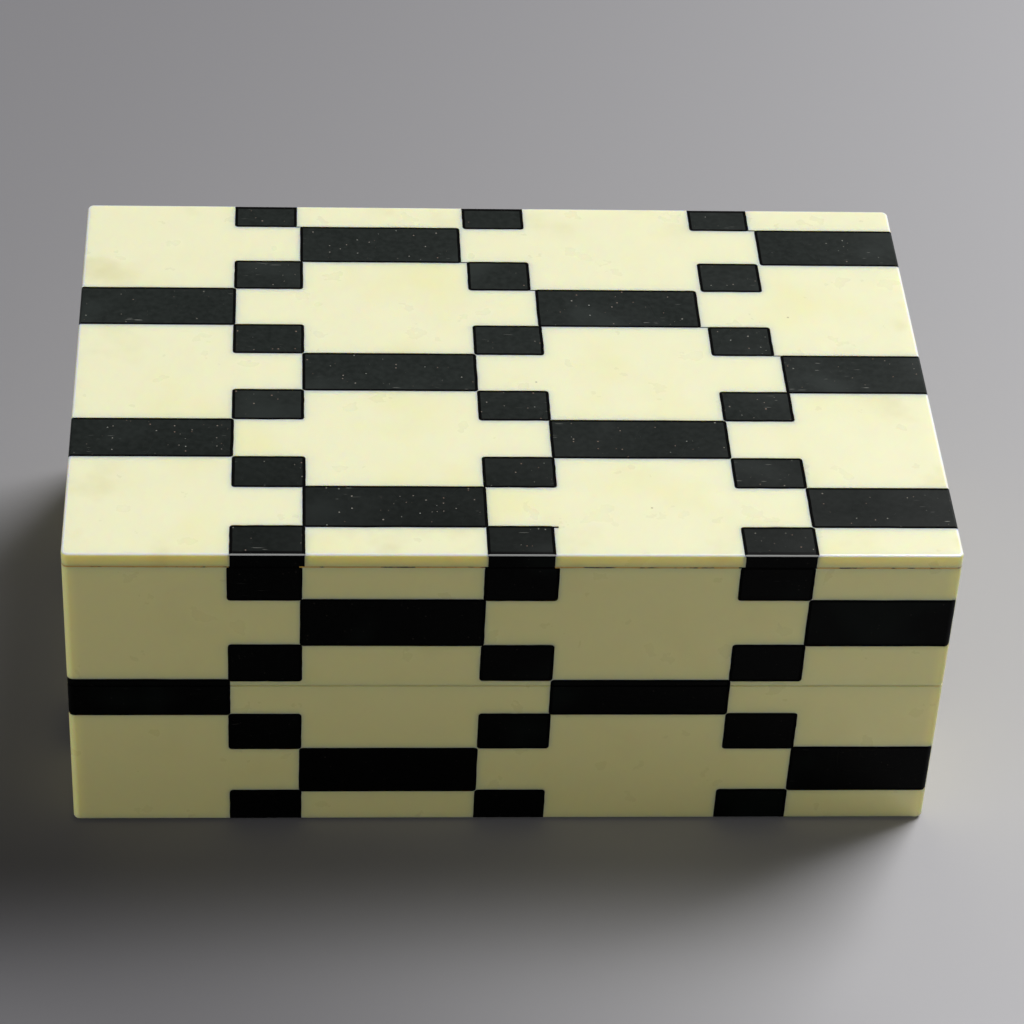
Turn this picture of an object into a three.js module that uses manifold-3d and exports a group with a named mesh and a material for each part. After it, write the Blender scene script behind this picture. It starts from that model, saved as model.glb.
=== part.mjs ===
// A hinged wooden box faced with cream sheets, each let in with a net of black rectangles.
// The carcass was glued up closed, faced, and then sawn apart into a base and a lid.
// Millimetres, +Z up. The origin is the middle of the footprint and the front is at -Y.
import * as THREE from 'three';
import { mergeVertices } from 'three/addons/utils/BufferGeometryUtils.js';
import Module from 'manifold-3d';

const wasm = await Module();
wasm.setup();

// Outside of the closed box
const length = 152;
const width = 102;
const baseHeight = 32.35;
const lidHeight = 29.65;
const rimGap = 0.2;

// Thicknesses of what the walls, lid and floor are made of
const topSheet = 2.6;
const sideSheet = 2.6;
const wall = 5;
const board = 4;
const lining = 1.5;
const felt = 0.5;

// Joints between the pieces
const glueLine = 0.05;
const cornerLap = 2.5;
const boardRebate = 2.5;
const liningFit = 0.3;
const feltInset = 1.5;

// Rounded edges
const cornerRound = 1.2;
const arrisRound = 0.45;
const liningRound = 0.5;
const liningCorner = 1.5;

// The black rectangles: wide bars and small blocks that touch at their corners
const barLength = 31;
const blockLength = 12.3;
const topFirstBar = 28.2;
const topFirstBlock = 6.8;
const topBar = 10.8;
const topBlock = 8.4;
const sideFirstBar = 27.8;
const sideFirstBlock = 7.25;
const sideBar = 10.3;
const sideBlock = 8.1;
const kerf = 2.3;
const inlayDepth = 1;
const edgeLip = 1.2;
const cornerTouch = 0.2;
const rowDrift = 0.95;
const columnLean = 1.7;

// The two brass butt hinges, let into the back rims
const hingeInset = 2;
const hingeLength = 20;
const hingeFromEnd = 32;
const grooveAngle = 50.5;
const knuckleRadius = 1.5;
const middleKnuckle = 7;
const knuckleGap = 0.15;
const pinRadius = 0.7;
const pinFit = 0.06;
const pinHeadLip = 0.45;
const pinHeadHeight = 0.45;
const pinEndPlay = 0.05;
const leafThickness = 0.8;
const leafReach = 5.4;
const leafCorner = 0.8;
const mortiseFit = 0.1;
const barrelRoom = 0.15;

// The countersunk brass screws in the hinge leaves
const screwLength = 5.2;
const screwShank = 0.65;
const screwHead = 1.3;
const screwHeadHeight = 0.6;
const screwPoint = 1.2;
const screwTip = 0.22;
const screwSpacing = 12;
const screwInset = 3.2;
const screwFit = 0.05;
const slotWidth = 0.35;
const slotDepth = 0.25;

// Places worked out from the sizes above
const height = baseHeight + lidHeight;
const baseTop = baseHeight - rimGap / 2;
const lidBottom = baseHeight + rimGap / 2;
const carcassLength = length - 2 * (sideSheet + glueLine);
const carcassWidth = width - 2 * (sideSheet + glueLine);
const carcassTop = height - topSheet - glueLine;
const hingeY = width / 2 - hingeInset;

// How far a cutting solid runs past what it cuts, and how many flats stand for a full circle
const beyond = 5;
const roundFlats = 32;
const cornerFlats = 4;

const cream = { color: 0xeeecc3, roughness: 0.3, metalness: 0 };
const black = { color: 0x2a2c2d, roughness: 0.35, metalness: 0 };
const wood = { color: 0x8a5a35, roughness: 0.6, metalness: 0 };
const velvet = { color: 0x5a1620, roughness: 0.95, metalness: 0 };
const feltGreen = { color: 0x23362a, roughness: 1, metalness: 0 };
const brass = { color: 0xc9a24a, roughness: 0.35, metalness: 1 };

const box = new THREE.Group();

// Solids and meshes

function solidFrom(geometry) {
  const bare = geometry.clone();
  bare.deleteAttribute('normal');
  bare.deleteAttribute('uv');
  const merged = mergeVertices(bare, 1e-5);
  const vertProperties = new Float32Array(merged.attributes.position.array);
  const triVerts = new Uint32Array(merged.index.array);
  return new wasm.Manifold(new wasm.Mesh({ numProp: 3, vertProperties, triVerts }));
}

function addPiece(name, solid, look) {
  const { vertProperties, triVerts } = solid.getMesh();
  const geometry = new THREE.BufferGeometry();
  geometry.setAttribute('position', new THREE.BufferAttribute(vertProperties, 3));
  geometry.setIndex(new THREE.BufferAttribute(triVerts, 1));
  geometry.computeVertexNormals();
  const mesh = new THREE.Mesh(geometry, new THREE.MeshStandardMaterial({ ...look, flatShading: true }));
  mesh.name = name;
  box.add(mesh);
}

function block(x0, x1, y0, y1, z0, z1) {
  const geometry = new THREE.BoxGeometry(x1 - x0, y1 - y0, z1 - z0);
  geometry.translate((x0 + x1) / 2, (y0 + y1) / 2, (z0 + z1) / 2);
  return solidFrom(geometry);
}

function union(solids) {
  return solids.reduce((sum, next) => sum.add(next));
}

function outline(points) {
  return new THREE.Shape(points.map(([x, y]) => new THREE.Vector2(x, y)));
}

function roundedRectangle(long, deep, radius) {
  const shape = new THREE.Shape();
  const x = long / 2 - radius;
  const y = deep / 2 - radius;
  shape.absarc(x, y, radius, 0, Math.PI / 2);
  shape.absarc(-x, y, radius, Math.PI / 2, Math.PI);
  shape.absarc(-x, -y, radius, Math.PI, 1.5 * Math.PI);
  shape.absarc(x, -y, radius, 1.5 * Math.PI, 2 * Math.PI);
  return shape;
}

function upright(shape, z0, z1) {
  const settings = { depth: z1 - z0, bevelEnabled: false, curveSegments: cornerFlats };
  const geometry = new THREE.ExtrudeGeometry(shape, settings);
  geometry.translate(0, 0, z0);
  return solidFrom(geometry);
}

// A slab whose upper arris is rounded: the lower bevel is cut away
function slabWithRoundedTop(shape, z0, z1, round) {
  const extra = 2 * round;
  const geometry = new THREE.ExtrudeGeometry(shape, {
    depth: z1 - z0 + extra - 2 * round,
    bevelThickness: round,
    bevelSize: round,
    bevelOffset: -round,
    bevelSegments: cornerFlats - 1,
    curveSegments: cornerFlats,
  });
  geometry.translate(0, 0, z0 - extra + round);
  const lower = block(-length, length, -width, width, z0 - extra - beyond, z0);
  return solidFrom(geometry).subtract(lower);
}

// The pattern

// Lines across a face, by turns one step and then the other apart, with no strip at the far edge
// that would be narrower than the lip
function evenLines(lines, step, nextStep, end) {
  if (end - lines.at(-1) > edgeLip) {
    return evenLines([...lines, lines.at(-1) + step], nextStep, step, end);
  }
  return [...lines.slice(0, -1), Math.max(lines.at(-1), end)];
}

// Where the lines between the columns fall along a face, from its left end
function columnLines(firstBar, faceLength) {
  const start = Math.min(firstBar - barLength, 0);
  return evenLines([start, firstBar], blockLength, barLength, faceLength);
}

// Where the lines between the rows fall, from the back or the upper edge of a face
function rowLines(start, firstBlock, blockHeight, barHeight, end) {
  return evenLines([start, start + firstBlock], barHeight, blockHeight, end);
}

// On the walls the row that the saw went through has lost the width of the cut
function wallRowLines() {
  const whole = rowLines(topSheet + glueLine, sideFirstBlock, sideBlock, sideBar, height + kerf);
  return whole.map((line) => (line > lidHeight ? Math.max(line - kerf, lidHeight) : line));
}

// Blocks stand in every other column and row, and bars stand by turns in the columns between
function isBlack(column, row) {
  if (column % 2 === 1) {
    return row % 2 === 0;
  }
  return column % 4 === 2 ? row % 4 === 1 : row % 4 === 3;
}

function blackRectangles(columns, rows) {
  const found = [];
  for (let row = 0; row < rows.length - 1; row += 1) {
    for (let column = 0; column < columns.length - 1; column += 1) {
      if (isBlack(column, row)) {
        found.push({ u0: columns[column], u1: columns[column + 1], v0: rows[row], v1: rows[row + 1] });
      }
    }
  }
  return found;
}

// The rows on the lid were laid by eye, so they drift and the columns lean a little
function laidByEye(u, v) {
  const drift = rowDrift * Math.sin((Math.PI * v) / width) ** 2;
  const lean = columnLean * (u / length) * (1 - v / width) ** 2;
  return [u - lean, v + drift];
}

// One rectangle as an upright prism in the plane of its face, grown by a margin all round
function prism(rectangle, grow, place, depth) {
  const [left, right] = [rectangle.u0 - grow, rectangle.u1 + grow];
  const [upper, lower] = [rectangle.v0 - grow, rectangle.v1 + grow];
  const corners = [[left, upper], [right, upper], [right, lower], [left, lower]];
  const shape = outline(corners.map(([u, v]) => place(u, v)));
  const geometry = new THREE.ExtrudeGeometry(shape, { depth: depth + beyond, bevelEnabled: false });
  geometry.translate(0, 0, -beyond);
  return geometry;
}

// The black net of one face and the pockets it sits in. The face's own axes are u to the right,
// v down its surface and then inward, and toWorld turns them into the box's frame. In the strips
// that lip gives, the black goes through the whole sheet, so it shows on the sheet's edge too.
function netAndPockets(rectangles, place, toWorld, lip, sheet) {
  const prisms = (margin, depth) => union(rectangles.map((rectangle) => {
    const geometry = prism(rectangle, cornerTouch + margin, place, depth);
    geometry.applyMatrix4(toWorld);
    return solidFrom(geometry);
  }));
  const shaped = (margin) => {
    const flat = prisms(margin, inlayDepth + margin);
    return lip ? flat.add(prisms(margin, sheet + beyond).intersect(lip(edgeLip + margin))) : flat;
  };
  return { net: shaped(0), pockets: shaped(glueLine) };
}

// A sheet with its black net: a net that falls apart at some size gives several pieces
function addFacedSheet(name, blank, pattern, cuts) {
  addPiece(`${name}_sheet`, blank.subtract(pattern.pockets).subtract(cuts), cream);
  const nets = blank.intersect(pattern.net).subtract(cuts).decompose();
  nets.sort((a, b) => b.volume() - a.volume());
  nets.forEach((net, index) => {
    const suffix = index === 0 ? '' : `_${index + 1}`;
    addPiece(`${name}_inlay${suffix}`, net, black);
  });
}

// Hinges: the places and the cuts that let them in

const hinges = [
  { side: 'left', x: -(length / 2 - hingeFromEnd) },
  { side: 'right', x: length / 2 - hingeFromEnd },
];

// Moves a solid made round the hinge axis for the base to its place, turned over for the lid
function atHinge(solid, x, part) {
  const turned = part === 'base' ? solid : solid.scale([1, 1, -1]);
  return turned.translate([x, hingeY, baseHeight]);
}

function lathed(points, segments) {
  const profile = points.map(([r, y]) => new THREE.Vector2(r, y));
  return new THREE.LatheGeometry(profile, segments);
}

// A screw standing point down with its head flush at z = 0
function screwBlank(fit) {
  const neck = -screwHeadHeight - fit;
  const geometry = lathed([
    [0, -screwLength - fit],
    [screwTip + fit, -screwLength - fit],
    [screwShank + fit, -screwLength + screwPoint],
    [screwShank + fit, neck],
    [screwHead + fit, 0],
    [screwHead + fit, fit],
    [0, fit],
  ], roundFlats / 2);
  geometry.rotateX(Math.PI / 2);
  return solidFrom(geometry);
}

const leafTop = -rimGap / 2;
const screwPlaces = [-screwSpacing / 2, screwSpacing / 2];

function screwAt(solid, x) {
  return solid.translate([x, -screwInset, leafTop]);
}

// The groove along the back rims lets the lid swing up, and its faces meet as the stop
function hingeCuts(part) {
  const reach = hingeInset + beyond;
  const drop = reach * Math.tan(THREE.MathUtils.degToRad(grooveAngle));
  const wedge = new THREE.ExtrudeGeometry(outline([[0, 0], [-drop, reach], [beyond, reach], [beyond, 0]]), {
    depth: length + 2 * beyond,
    bevelEnabled: false,
  });
  const axes = new THREE.Matrix4().makeBasis(
    new THREE.Vector3(0, 0, 1),
    new THREE.Vector3(0, 1, 0),
    new THREE.Vector3(-1, 0, 0),
  );
  wedge.applyMatrix4(axes);
  wedge.translate(length / 2 + beyond, 0, 0);
  const cuts = [atHinge(solidFrom(wedge), 0, part)];
  const barrelLength = hingeLength + 2 * (pinHeadHeight + barrelRoom);
  for (const { x } of hinges) {
    const room = knuckleRadius + barrelRoom;
    const barrel = new THREE.CylinderGeometry(room, room, barrelLength, roundFlats);
    barrel.rotateZ(Math.PI / 2);
    const half = hingeLength / 2 + mortiseFit;
    const floor = leafTop - leafThickness - glueLine;
    const mortise = block(-half, half, -leafReach - mortiseFit, 0, floor, beyond);
    const holes = screwPlaces.map((place) => screwAt(screwBlank(screwFit), place));
    cuts.push(atHinge(union([solidFrom(barrel), mortise, ...holes]), x, part));
  }
  return union(cuts);
}

// Wooden carcass

// A front or back wall runs the whole length, lapped at its ends over the side walls
function longWall(side, z0, z1) {
  const x = carcassLength / 2;
  const inner = x - wall - glueLine;
  const y = carcassWidth / 2;
  const lapped = y - wall + cornerLap;
  const shape = outline([
    [-x, side * y], [x, side * y], [x, side * lapped], [inner, side * lapped],
    [inner, side * (y - wall)], [-inner, side * (y - wall)], [-inner, side * lapped], [-x, side * lapped],
  ]);
  return upright(shape, z0, z1);
}

function sideWall(side, z0, z1) {
  const x = side * (carcassLength / 2);
  const y = carcassWidth / 2 - wall + cornerLap - glueLine;
  return block(Math.min(x, x - side * wall), Math.max(x, x - side * wall), -y, y, z0, z1);
}

// The floor and top boards sit in rebates along the walls' inner edges
function boardBlock(fit, z0, z1) {
  const x = carcassLength / 2 - wall + boardRebate - glueLine + fit;
  const y = carcassWidth / 2 - wall + boardRebate - glueLine + fit;
  return block(-x, x, -y, y, z0, z1);
}

function addCarcass(part, z0, z1, boardLow, boardHigh, cuts) {
  const rebate = boardBlock(glueLine, boardLow, boardHigh);
  const walls = {
    front: longWall(-1, z0, z1),
    back: longWall(1, z0, z1),
    left: sideWall(-1, z0, z1),
    right: sideWall(1, z0, z1),
  };
  for (const [side, solid] of Object.entries(walls)) {
    addPiece(`${part}_${side}_wall`, solid.subtract(rebate).subtract(cuts), wood);
  }
}

// Cream sheets and their black nets on the four walls

// Each wall face's own u, v and inward axes in the box's frame, from its upper left corner
function faceMatrix(u, corner) {
  const down = new THREE.Vector3(0, 0, -1);
  const inward = new THREE.Vector3().crossVectors(u, down);
  return new THREE.Matrix4().makeBasis(u, down, inward).setPosition(corner);
}

function wallFaces() {
  const X = new THREE.Vector3(1, 0, 0);
  const Y = new THREE.Vector3(0, 1, 0);
  const x = length / 2;
  const y = width / 2;
  const corner = (cx, cy) => new THREE.Vector3(cx, cy, height);
  const minus = (v) => v.clone().negate();
  return {
    front: { span: length, lip: endLips, toWorld: faceMatrix(X, corner(-x, -y)) },
    right: { span: width, lip: null, toWorld: faceMatrix(Y, corner(x, -y)) },
    back: { span: length, lip: endLips, toWorld: faceMatrix(minus(X), corner(x, y)) },
    left: { span: width, lip: null, toWorld: faceMatrix(minus(Y), corner(-x, y)) },
  };
}

// The front and back sheets cover the ends of the side sheets, and their outer corners are rounded
function sheetBlank(side, z0, z1) {
  if (side === 'front' || side === 'back') {
    const whole = upright(roundedRectangle(length, width, cornerRound), z0, z1);
    const inside = width / 2 - sideSheet;
    const kept = side === 'back' ? [inside, width] : [-width, -inside];
    return whole.intersect(block(-length, length, kept[0], kept[1], z0 - beyond, z1 + beyond));
  }
  const y = width / 2 - sideSheet - glueLine;
  const outer = length / 2;
  const inner = outer - sideSheet;
  return side === 'left' ? block(-outer, -inner, -y, y, z0, z1) : block(inner, outer, -y, y, z0, z1);
}

function endLips(depth) {
  const x = length / 2;
  const left = block(-x - beyond, -x + depth, -width, width, -beyond, height + beyond);
  const right = block(x - depth, x + beyond, -width, width, -beyond, height + beyond);
  return left.add(right);
}

function addWallSheets(part, z0, z1, cuts) {
  const rows = wallRowLines();
  for (const [side, face] of Object.entries(wallFaces())) {
    const rectangles = blackRectangles(columnLines(sideFirstBar, face.span), rows);
    const pattern = netAndPockets(rectangles, (u, v) => [u, v], face.toWorld, face.lip, sideSheet);
    addFacedSheet(`${part}_${side}`, sheetBlank(side, z0, z1), pattern, cuts);
  }
}

// The lid's one-piece top sheet laps over the upper edges of the wall sheets
function topLips(depth) {
  const z0 = height - topSheet - beyond;
  const z1 = height + beyond;
  const whole = block(-length, length, -width, width, z0, z1);
  const x = length / 2 - depth;
  const y = width / 2 - depth;
  return whole.subtract(block(-x, x, -y, y, z0 - beyond, z1 + beyond));
}

function addTopSheet(cuts) {
  const shape = roundedRectangle(length, width, cornerRound);
  const blank = slabWithRoundedTop(shape, height - topSheet, height, arrisRound);
  const toWorld = new THREE.Matrix4().makeBasis(
    new THREE.Vector3(1, 0, 0),
    new THREE.Vector3(0, -1, 0),
    new THREE.Vector3(0, 0, -1),
  );
  const rows = rowLines(0, topFirstBlock, topBlock, topBar, width);
  const rectangles = blackRectangles(columnLines(topFirstBar, length), rows);
  toWorld.setPosition(-length / 2, width / 2, height);
  const pattern = netAndPockets(rectangles, laidByEye, toWorld, topLips, topSheet);
  addFacedSheet('lid_top', blank, pattern, cuts);
}

// Linings and felt

function addLining(name, z0, z1, upsideDown) {
  const x = carcassLength - 2 * (wall + liningFit);
  const y = carcassWidth - 2 * (wall + liningFit);
  const card = slabWithRoundedTop(roundedRectangle(x, y, liningCorner), 0, z1 - z0, liningRound);
  const placed = upsideDown ? card.scale([1, 1, -1]).translate([0, 0, z1]) : card.translate([0, 0, z0]);
  addPiece(name, placed, velvet);
}

// Hinge pieces

function knuckle(x0, x1) {
  const ring = new THREE.Shape().absarc(0, 0, knuckleRadius, 0, 2 * Math.PI);
  ring.holes.push(new THREE.Path().absarc(0, 0, pinRadius + pinFit, 0, 2 * Math.PI));
  const settings = { depth: x1 - x0, bevelEnabled: false, curveSegments: roundFlats / 2 };
  const geometry = new THREE.ExtrudeGeometry(ring, settings);
  geometry.rotateY(Math.PI / 2);
  geometry.translate(x0, 0, 0);
  return solidFrom(geometry);
}

// A leaf lies flush in its rim. The base leaf has the two outer knuckles and the lid leaf the middle one
function hingeLeaf(part) {
  const end = hingeLength / 2;
  const middle = middleKnuckle / 2;
  const outer = [[-end, -middle - knuckleGap], [middle + knuckleGap, end]];
  const spans = part === 'base' ? outer : [[-middle, middle]];
  const clear = knuckleRadius + knuckleGap;
  const root = (knuckleRadius + pinRadius + pinFit) / 2;
  const deep = leafReach - clear;
  const plate = roundedRectangle(hingeLength, deep, leafCorner);
  const z0 = leafTop - leafThickness;
  let leaf = upright(plate, z0, leafTop).translate([0, -clear - deep / 2, 0]);
  for (const [x0, x1] of spans) {
    leaf = leaf.add(block(x0, x1, -clear - leafCorner, -root, z0, leafTop));
    leaf = leaf.add(knuckle(x0, x1));
  }
  const holes = screwPlaces.map((x) => screwAt(screwBlank(screwFit), x));
  return leaf.subtract(union(holes));
}

// The pin's ends are peened over into low heads outside the barrel
function hingePin() {
  const half = hingeLength / 2 + pinEndPlay;
  const end = half + pinHeadHeight;
  const wide = pinRadius + pinHeadLip;
  const shoulder = end - pinHeadHeight / 2;
  const geometry = lathed([
    [0, -end], [pinRadius, -end], [wide, -shoulder], [wide, -half], [pinRadius, -half],
    [pinRadius, half], [wide, half], [wide, shoulder], [pinRadius, end], [0, end],
  ], roundFlats);
  geometry.rotateZ(Math.PI / 2);
  return solidFrom(geometry);
}

function slottedScrew() {
  const slot = block(-beyond, beyond, -slotWidth / 2, slotWidth / 2, -slotDepth, beyond);
  return screwBlank(0).subtract(slot);
}

function addHinges() {
  for (const { side, x } of hinges) {
    for (const part of ['base', 'lid']) {
      addPiece(`hinge_${side}_${part}_leaf`, atHinge(hingeLeaf(part), x, part), brass);
      screwPlaces.forEach((place, index) => {
        const screw = screwAt(slottedScrew(), place);
        addPiece(`hinge_${side}_${part}_screw_${index + 1}`, atHinge(screw, x, part), brass);
      });
    }
    addPiece(`hinge_${side}_pin`, hingePin().translate([x, hingeY, baseHeight]), brass);
  }
}

// The box put together, base first

const baseCuts = hingeCuts('base');
const floorLow = felt + glueLine;
addPiece('base_floor_board', boardBlock(0, floorLow, floorLow + board), wood);
addCarcass('base', floorLow, baseTop, floorLow - beyond, floorLow + board + glueLine, baseCuts);
addWallSheets('base', floorLow, baseTop, baseCuts);
addLining('base_lining', floorLow + board + 2 * glueLine, floorLow + board + 2 * glueLine + lining, false);
const feltShape = roundedRectangle(length - 2 * feltInset, width - 2 * feltInset, cornerRound);
addPiece('base_felt', upright(feltShape, 0, felt), feltGreen);

const lidCuts = hingeCuts('lid');
const lidBoardLow = carcassTop - board;
addPiece('lid_top_board', boardBlock(0, lidBoardLow, carcassTop), wood);
addCarcass('lid', lidBottom, carcassTop, lidBoardLow - glueLine, carcassTop + beyond, lidCuts);
addWallSheets('lid', lidBottom, carcassTop, lidCuts);
addTopSheet(lidCuts);
addLining('lid_lining', lidBoardLow - 2 * glueLine - lining, lidBoardLow - 2 * glueLine, true);

addHinges();

export default box;
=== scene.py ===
# A hinged wooden box faced with polished cream sheets, each let in with black rectangles.
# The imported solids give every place; this script dresses them. Metres, +Z up, front at -Y.
import math
import random

import bmesh
import bpy
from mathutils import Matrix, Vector


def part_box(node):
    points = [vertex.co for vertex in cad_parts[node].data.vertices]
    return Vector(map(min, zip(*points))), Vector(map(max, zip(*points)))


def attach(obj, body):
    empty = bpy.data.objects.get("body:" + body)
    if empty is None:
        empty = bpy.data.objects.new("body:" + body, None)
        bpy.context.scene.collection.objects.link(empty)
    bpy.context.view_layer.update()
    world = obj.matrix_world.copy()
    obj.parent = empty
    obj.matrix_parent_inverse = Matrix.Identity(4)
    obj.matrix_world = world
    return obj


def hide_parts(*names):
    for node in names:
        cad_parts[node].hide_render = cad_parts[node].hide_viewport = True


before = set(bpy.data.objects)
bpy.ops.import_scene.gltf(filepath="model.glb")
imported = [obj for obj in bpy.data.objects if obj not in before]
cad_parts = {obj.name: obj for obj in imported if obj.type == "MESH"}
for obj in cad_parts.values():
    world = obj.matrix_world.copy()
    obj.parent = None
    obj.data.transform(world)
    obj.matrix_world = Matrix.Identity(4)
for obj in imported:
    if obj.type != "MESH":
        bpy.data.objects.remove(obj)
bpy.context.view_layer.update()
MM = 0.001


# CAMERA
# It stands where the photograph was taken from: above the front, a little to the left, and far
# enough off for a long lens. The place and the turn were fitted to the box's outline and pattern.
camera_lens = bpy.data.cameras.new("camera")
camera_lens.sensor_width = 36
camera_lens.lens = 122.93
camera = bpy.data.objects.new("camera", camera_lens)
camera.location = (-0.03852, -0.49659, 0.44086)
camera.rotation_euler = [math.radians(turn) for turn in (50.397, -2.496, -2.730)]
bpy.context.scene.collection.objects.link(camera)
bpy.context.scene.camera = camera


# FLOOR AND LIGHT
# A sheet of pale grey studio paper, with painted shade: darker to the left, away from the lamp, and a
# painted shadow darkest in front at the left. One softbox hangs to the right and behind, and leaves the
# box's front in soft shade. Two white cards in front at the left fill that shade, but the gloss doesn't
# mirror them.
def linear(colour):
    """An sRGB hex colour as the linear one that Blender's sockets take."""
    parts = [int(colour[place:place + 2], 16) / 255 for place in (1, 3, 5)]
    return tuple(p / 12.92 if p <= 0.04045 else ((p + 0.055) / 1.055) ** 2.4 for p in parts) + (1.0,)


def add_node(tree, kind, sockets=None, **settings):
    """A shader node with its settings; a socket is given a number, a colour or what it links to."""
    node = tree.nodes.new("ShaderNode" + kind)
    for name, value in settings.items():
        setattr(node, name, value)
    for name, value in (sockets or {}).items():
        if isinstance(value, bpy.types.NodeSocket):
            tree.links.new(value, node.inputs[name])
        else:
            node.inputs[name].default_value = value
    return node


def new_material(name):
    """An empty procedural material, and the tree that its nodes go into."""
    material = bpy.data.materials.new(name)
    material.use_nodes = True
    material.node_tree.nodes.clear()
    return material, material.node_tree


paper_with_painted_shade, tree = new_material("grey_paper_with_painted_shade")
place = add_node(tree, "TexCoord").outputs["Object"]
painted_shade_ramps = []
for turn, start, end in ((25, -0.254, 0.6), (128, 0.03, 0.125)):
    slant = add_node(tree, "Mapping", {"Vector": place, "Rotation": (0, 0, math.radians(turn))})
    across = add_node(tree, "SeparateXYZ", {0: slant.outputs[0]}).outputs["X"]
    shade = add_node(tree, "MapRange", {0: across, 1: start, 2: end}, interpolation_type="SMOOTHSTEP")
    painted_shade_ramps.append(shade.outputs[0])
# Painted shade: the paper darkens to the left, away from the lamp, and a painted shadow makes it darkest
# in front at the left
paper = add_node(tree, "Mix", {0: painted_shade_ramps[0], 6: linear("#777679"), 7: linear("#e6e5e8")},
                 data_type="RGBA")
paper = add_node(tree, "Mix", {0: painted_shade_ramps[1], 6: paper.outputs[2], 7: linear("#68676a")},
                 data_type="RGBA")
tooth = add_node(tree, "TexNoise", {"Vector": place, "Scale": 900, "Detail": 3})
paper_bump = add_node(tree, "Bump", {"Height": tooth.outputs[0], "Strength": 0.05, "Distance": 0.0002})
shader = add_node(tree, "BsdfPrincipled", {"Base Color": paper.outputs[2], "Roughness": 0.85,
                                           "Normal": paper_bump.outputs[0]})
add_node(tree, "OutputMaterial", {0: shader.outputs[0]})

bpy.ops.object.select_all(action="DESELECT")
bpy.ops.mesh.primitive_plane_add(size=6)
floor = bpy.context.object
floor.name = "floor"
floor.data.materials.append(paper_with_painted_shade)

for name, wide, high, watts, place in (("softbox", 1.5, 1.5, 124, (1.386, 1.294, 2.429)),
                                       ("front_card", 1.0, 0.5, 2.45, (-0.70, -0.620, 0.270)),
                                       ("side_card", 0.8, 0.24, 1.1, (-1.0, -0.12, 0.13))):
    source = bpy.data.lights.new(name, "AREA")
    source.shape = "RECTANGLE"
    source.size, source.size_y = wide, high
    source.energy = watts
    lamp = bpy.data.objects.new(name, source)
    lamp.location = place
    lamp.visible_glossy = name == "softbox"
    lamp.rotation_euler = (-lamp.location).to_track_quat("-Z", "Y").to_euler()
    bpy.context.scene.collection.objects.link(lamp)

room = bpy.data.worlds.new("room")
bpy.context.scene.world = room
room.use_nodes = True
room.node_tree.nodes["Background"].inputs["Color"].default_value = (1, 1, 1, 1)
room.node_tree.nodes["Background"].inputs["Strength"].default_value = 0.055
bpy.context.scene.view_settings.view_transform = "Standard"


# WOODEN CARCASS
# Eight walls and two boards of a plain brown hardwood, sawn, planed and glued up. The long walls
# are lapped over the ends of the short ones, and their inner edges are eased with sandpaper.
def hardwood(name, turn):
    """Planed hardwood: long darker streaks along the grain, and short pores that catch the light."""
    material, tree = new_material(name)
    place = add_node(tree, "TexCoord").outputs["Object"]
    along = add_node(tree, "Mapping", {"Vector": place, "Rotation": (0, 0, turn), "Scale": (1, 14, 14)})
    streak = add_node(tree, "TexNoise", {"Vector": along.outputs[0], "Scale": 26, "Detail": 6,
                                         "Distortion": 0.6})
    depth = add_node(tree, "MapRange", {0: streak.outputs[0], 1: 0.32, 2: 0.68})
    ground = add_node(tree, "Mix", {0: depth.outputs[0], 6: linear("#6b4327"), 7: linear("#a77a4e")},
                      data_type="RGBA")
    fine = add_node(tree, "Mapping", {"Vector": place, "Rotation": (0, 0, turn), "Scale": (1, 9, 9)})
    pores = add_node(tree, "TexNoise", {"Vector": fine.outputs[0], "Scale": 420, "Detail": 2})
    pore = add_node(tree, "MapRange", {0: pores.outputs[0], 1: 0.60, 2: 0.68})
    colour = add_node(tree, "Mix", {0: pore.outputs[0], 6: ground.outputs[2], 7: linear("#4a2b18")},
                      data_type="RGBA")
    gloss = add_node(tree, "MapRange", {0: streak.outputs[0], 3: 0.62, 4: 0.5})
    bump = add_node(tree, "Bump", {"Height": pores.outputs[0], "Strength": 0.25, "Distance": 0.0001},
                    invert=True)
    shader = add_node(tree, "BsdfPrincipled", {"Base Color": colour.outputs[2], "IOR": 1.5,
                                               "Roughness": gloss.outputs[0],
                                               "Normal": bump.outputs[0]})
    add_node(tree, "OutputMaterial", {0: shader.outputs[0]})
    return material


def pick(piece, kind, test):
    """In edit mode, selects only those vertices, edges or faces of the piece that pass the test."""
    bpy.ops.mesh.select_mode(type=kind)
    bpy.ops.mesh.select_all(action="DESELECT")
    shape = bmesh.from_edit_mesh(piece.data)
    for part in {"VERT": shape.verts, "EDGE": shape.edges, "FACE": shape.faces}[kind]:
        if test(part):
            part.select_set(True)
    shape.select_flush_mode()
    bmesh.update_edit_mesh(piece.data)


def make_active(piece):
    """Leaves this one piece selected and active, for the operator that comes next."""
    bpy.ops.object.select_all(action="DESELECT")
    piece.select_set(True)
    bpy.context.view_layer.objects.active = piece


def copy_of_node(node, name):
    """A CAD node's shape as a new piece in edit mode, its loose triangles joined into whole faces."""
    piece = bpy.data.objects.new(name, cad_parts[node].data.copy())
    bpy.context.scene.collection.objects.link(piece)
    make_active(piece)
    bpy.ops.object.mode_set(mode="EDIT")
    bpy.ops.mesh.select_all(action="SELECT")
    bpy.ops.mesh.remove_doubles(threshold=0.002 * MM)
    bpy.ops.mesh.dissolve_limited(angle_limit=math.radians(0.2))
    return piece


def cover(piece, material):
    """Gives the whole piece one material."""
    piece.data.materials.clear()
    piece.data.materials.append(material)


def finish_piece(piece, body, nodes, material=None):
    """Gives a finished piece its material, and says what it rides on and stands for."""
    if material:
        cover(piece, material)
    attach(piece, body)
    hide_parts(*nodes)


long_grain = hardwood("planed_hardwood_along_x", 0)
short_grain = hardwood("planed_hardwood_along_y", math.pi / 2)
arris_eased = 0.3 * MM
shortest_rim = 2 * MM
past_middle = 1.2 * MM

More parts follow.
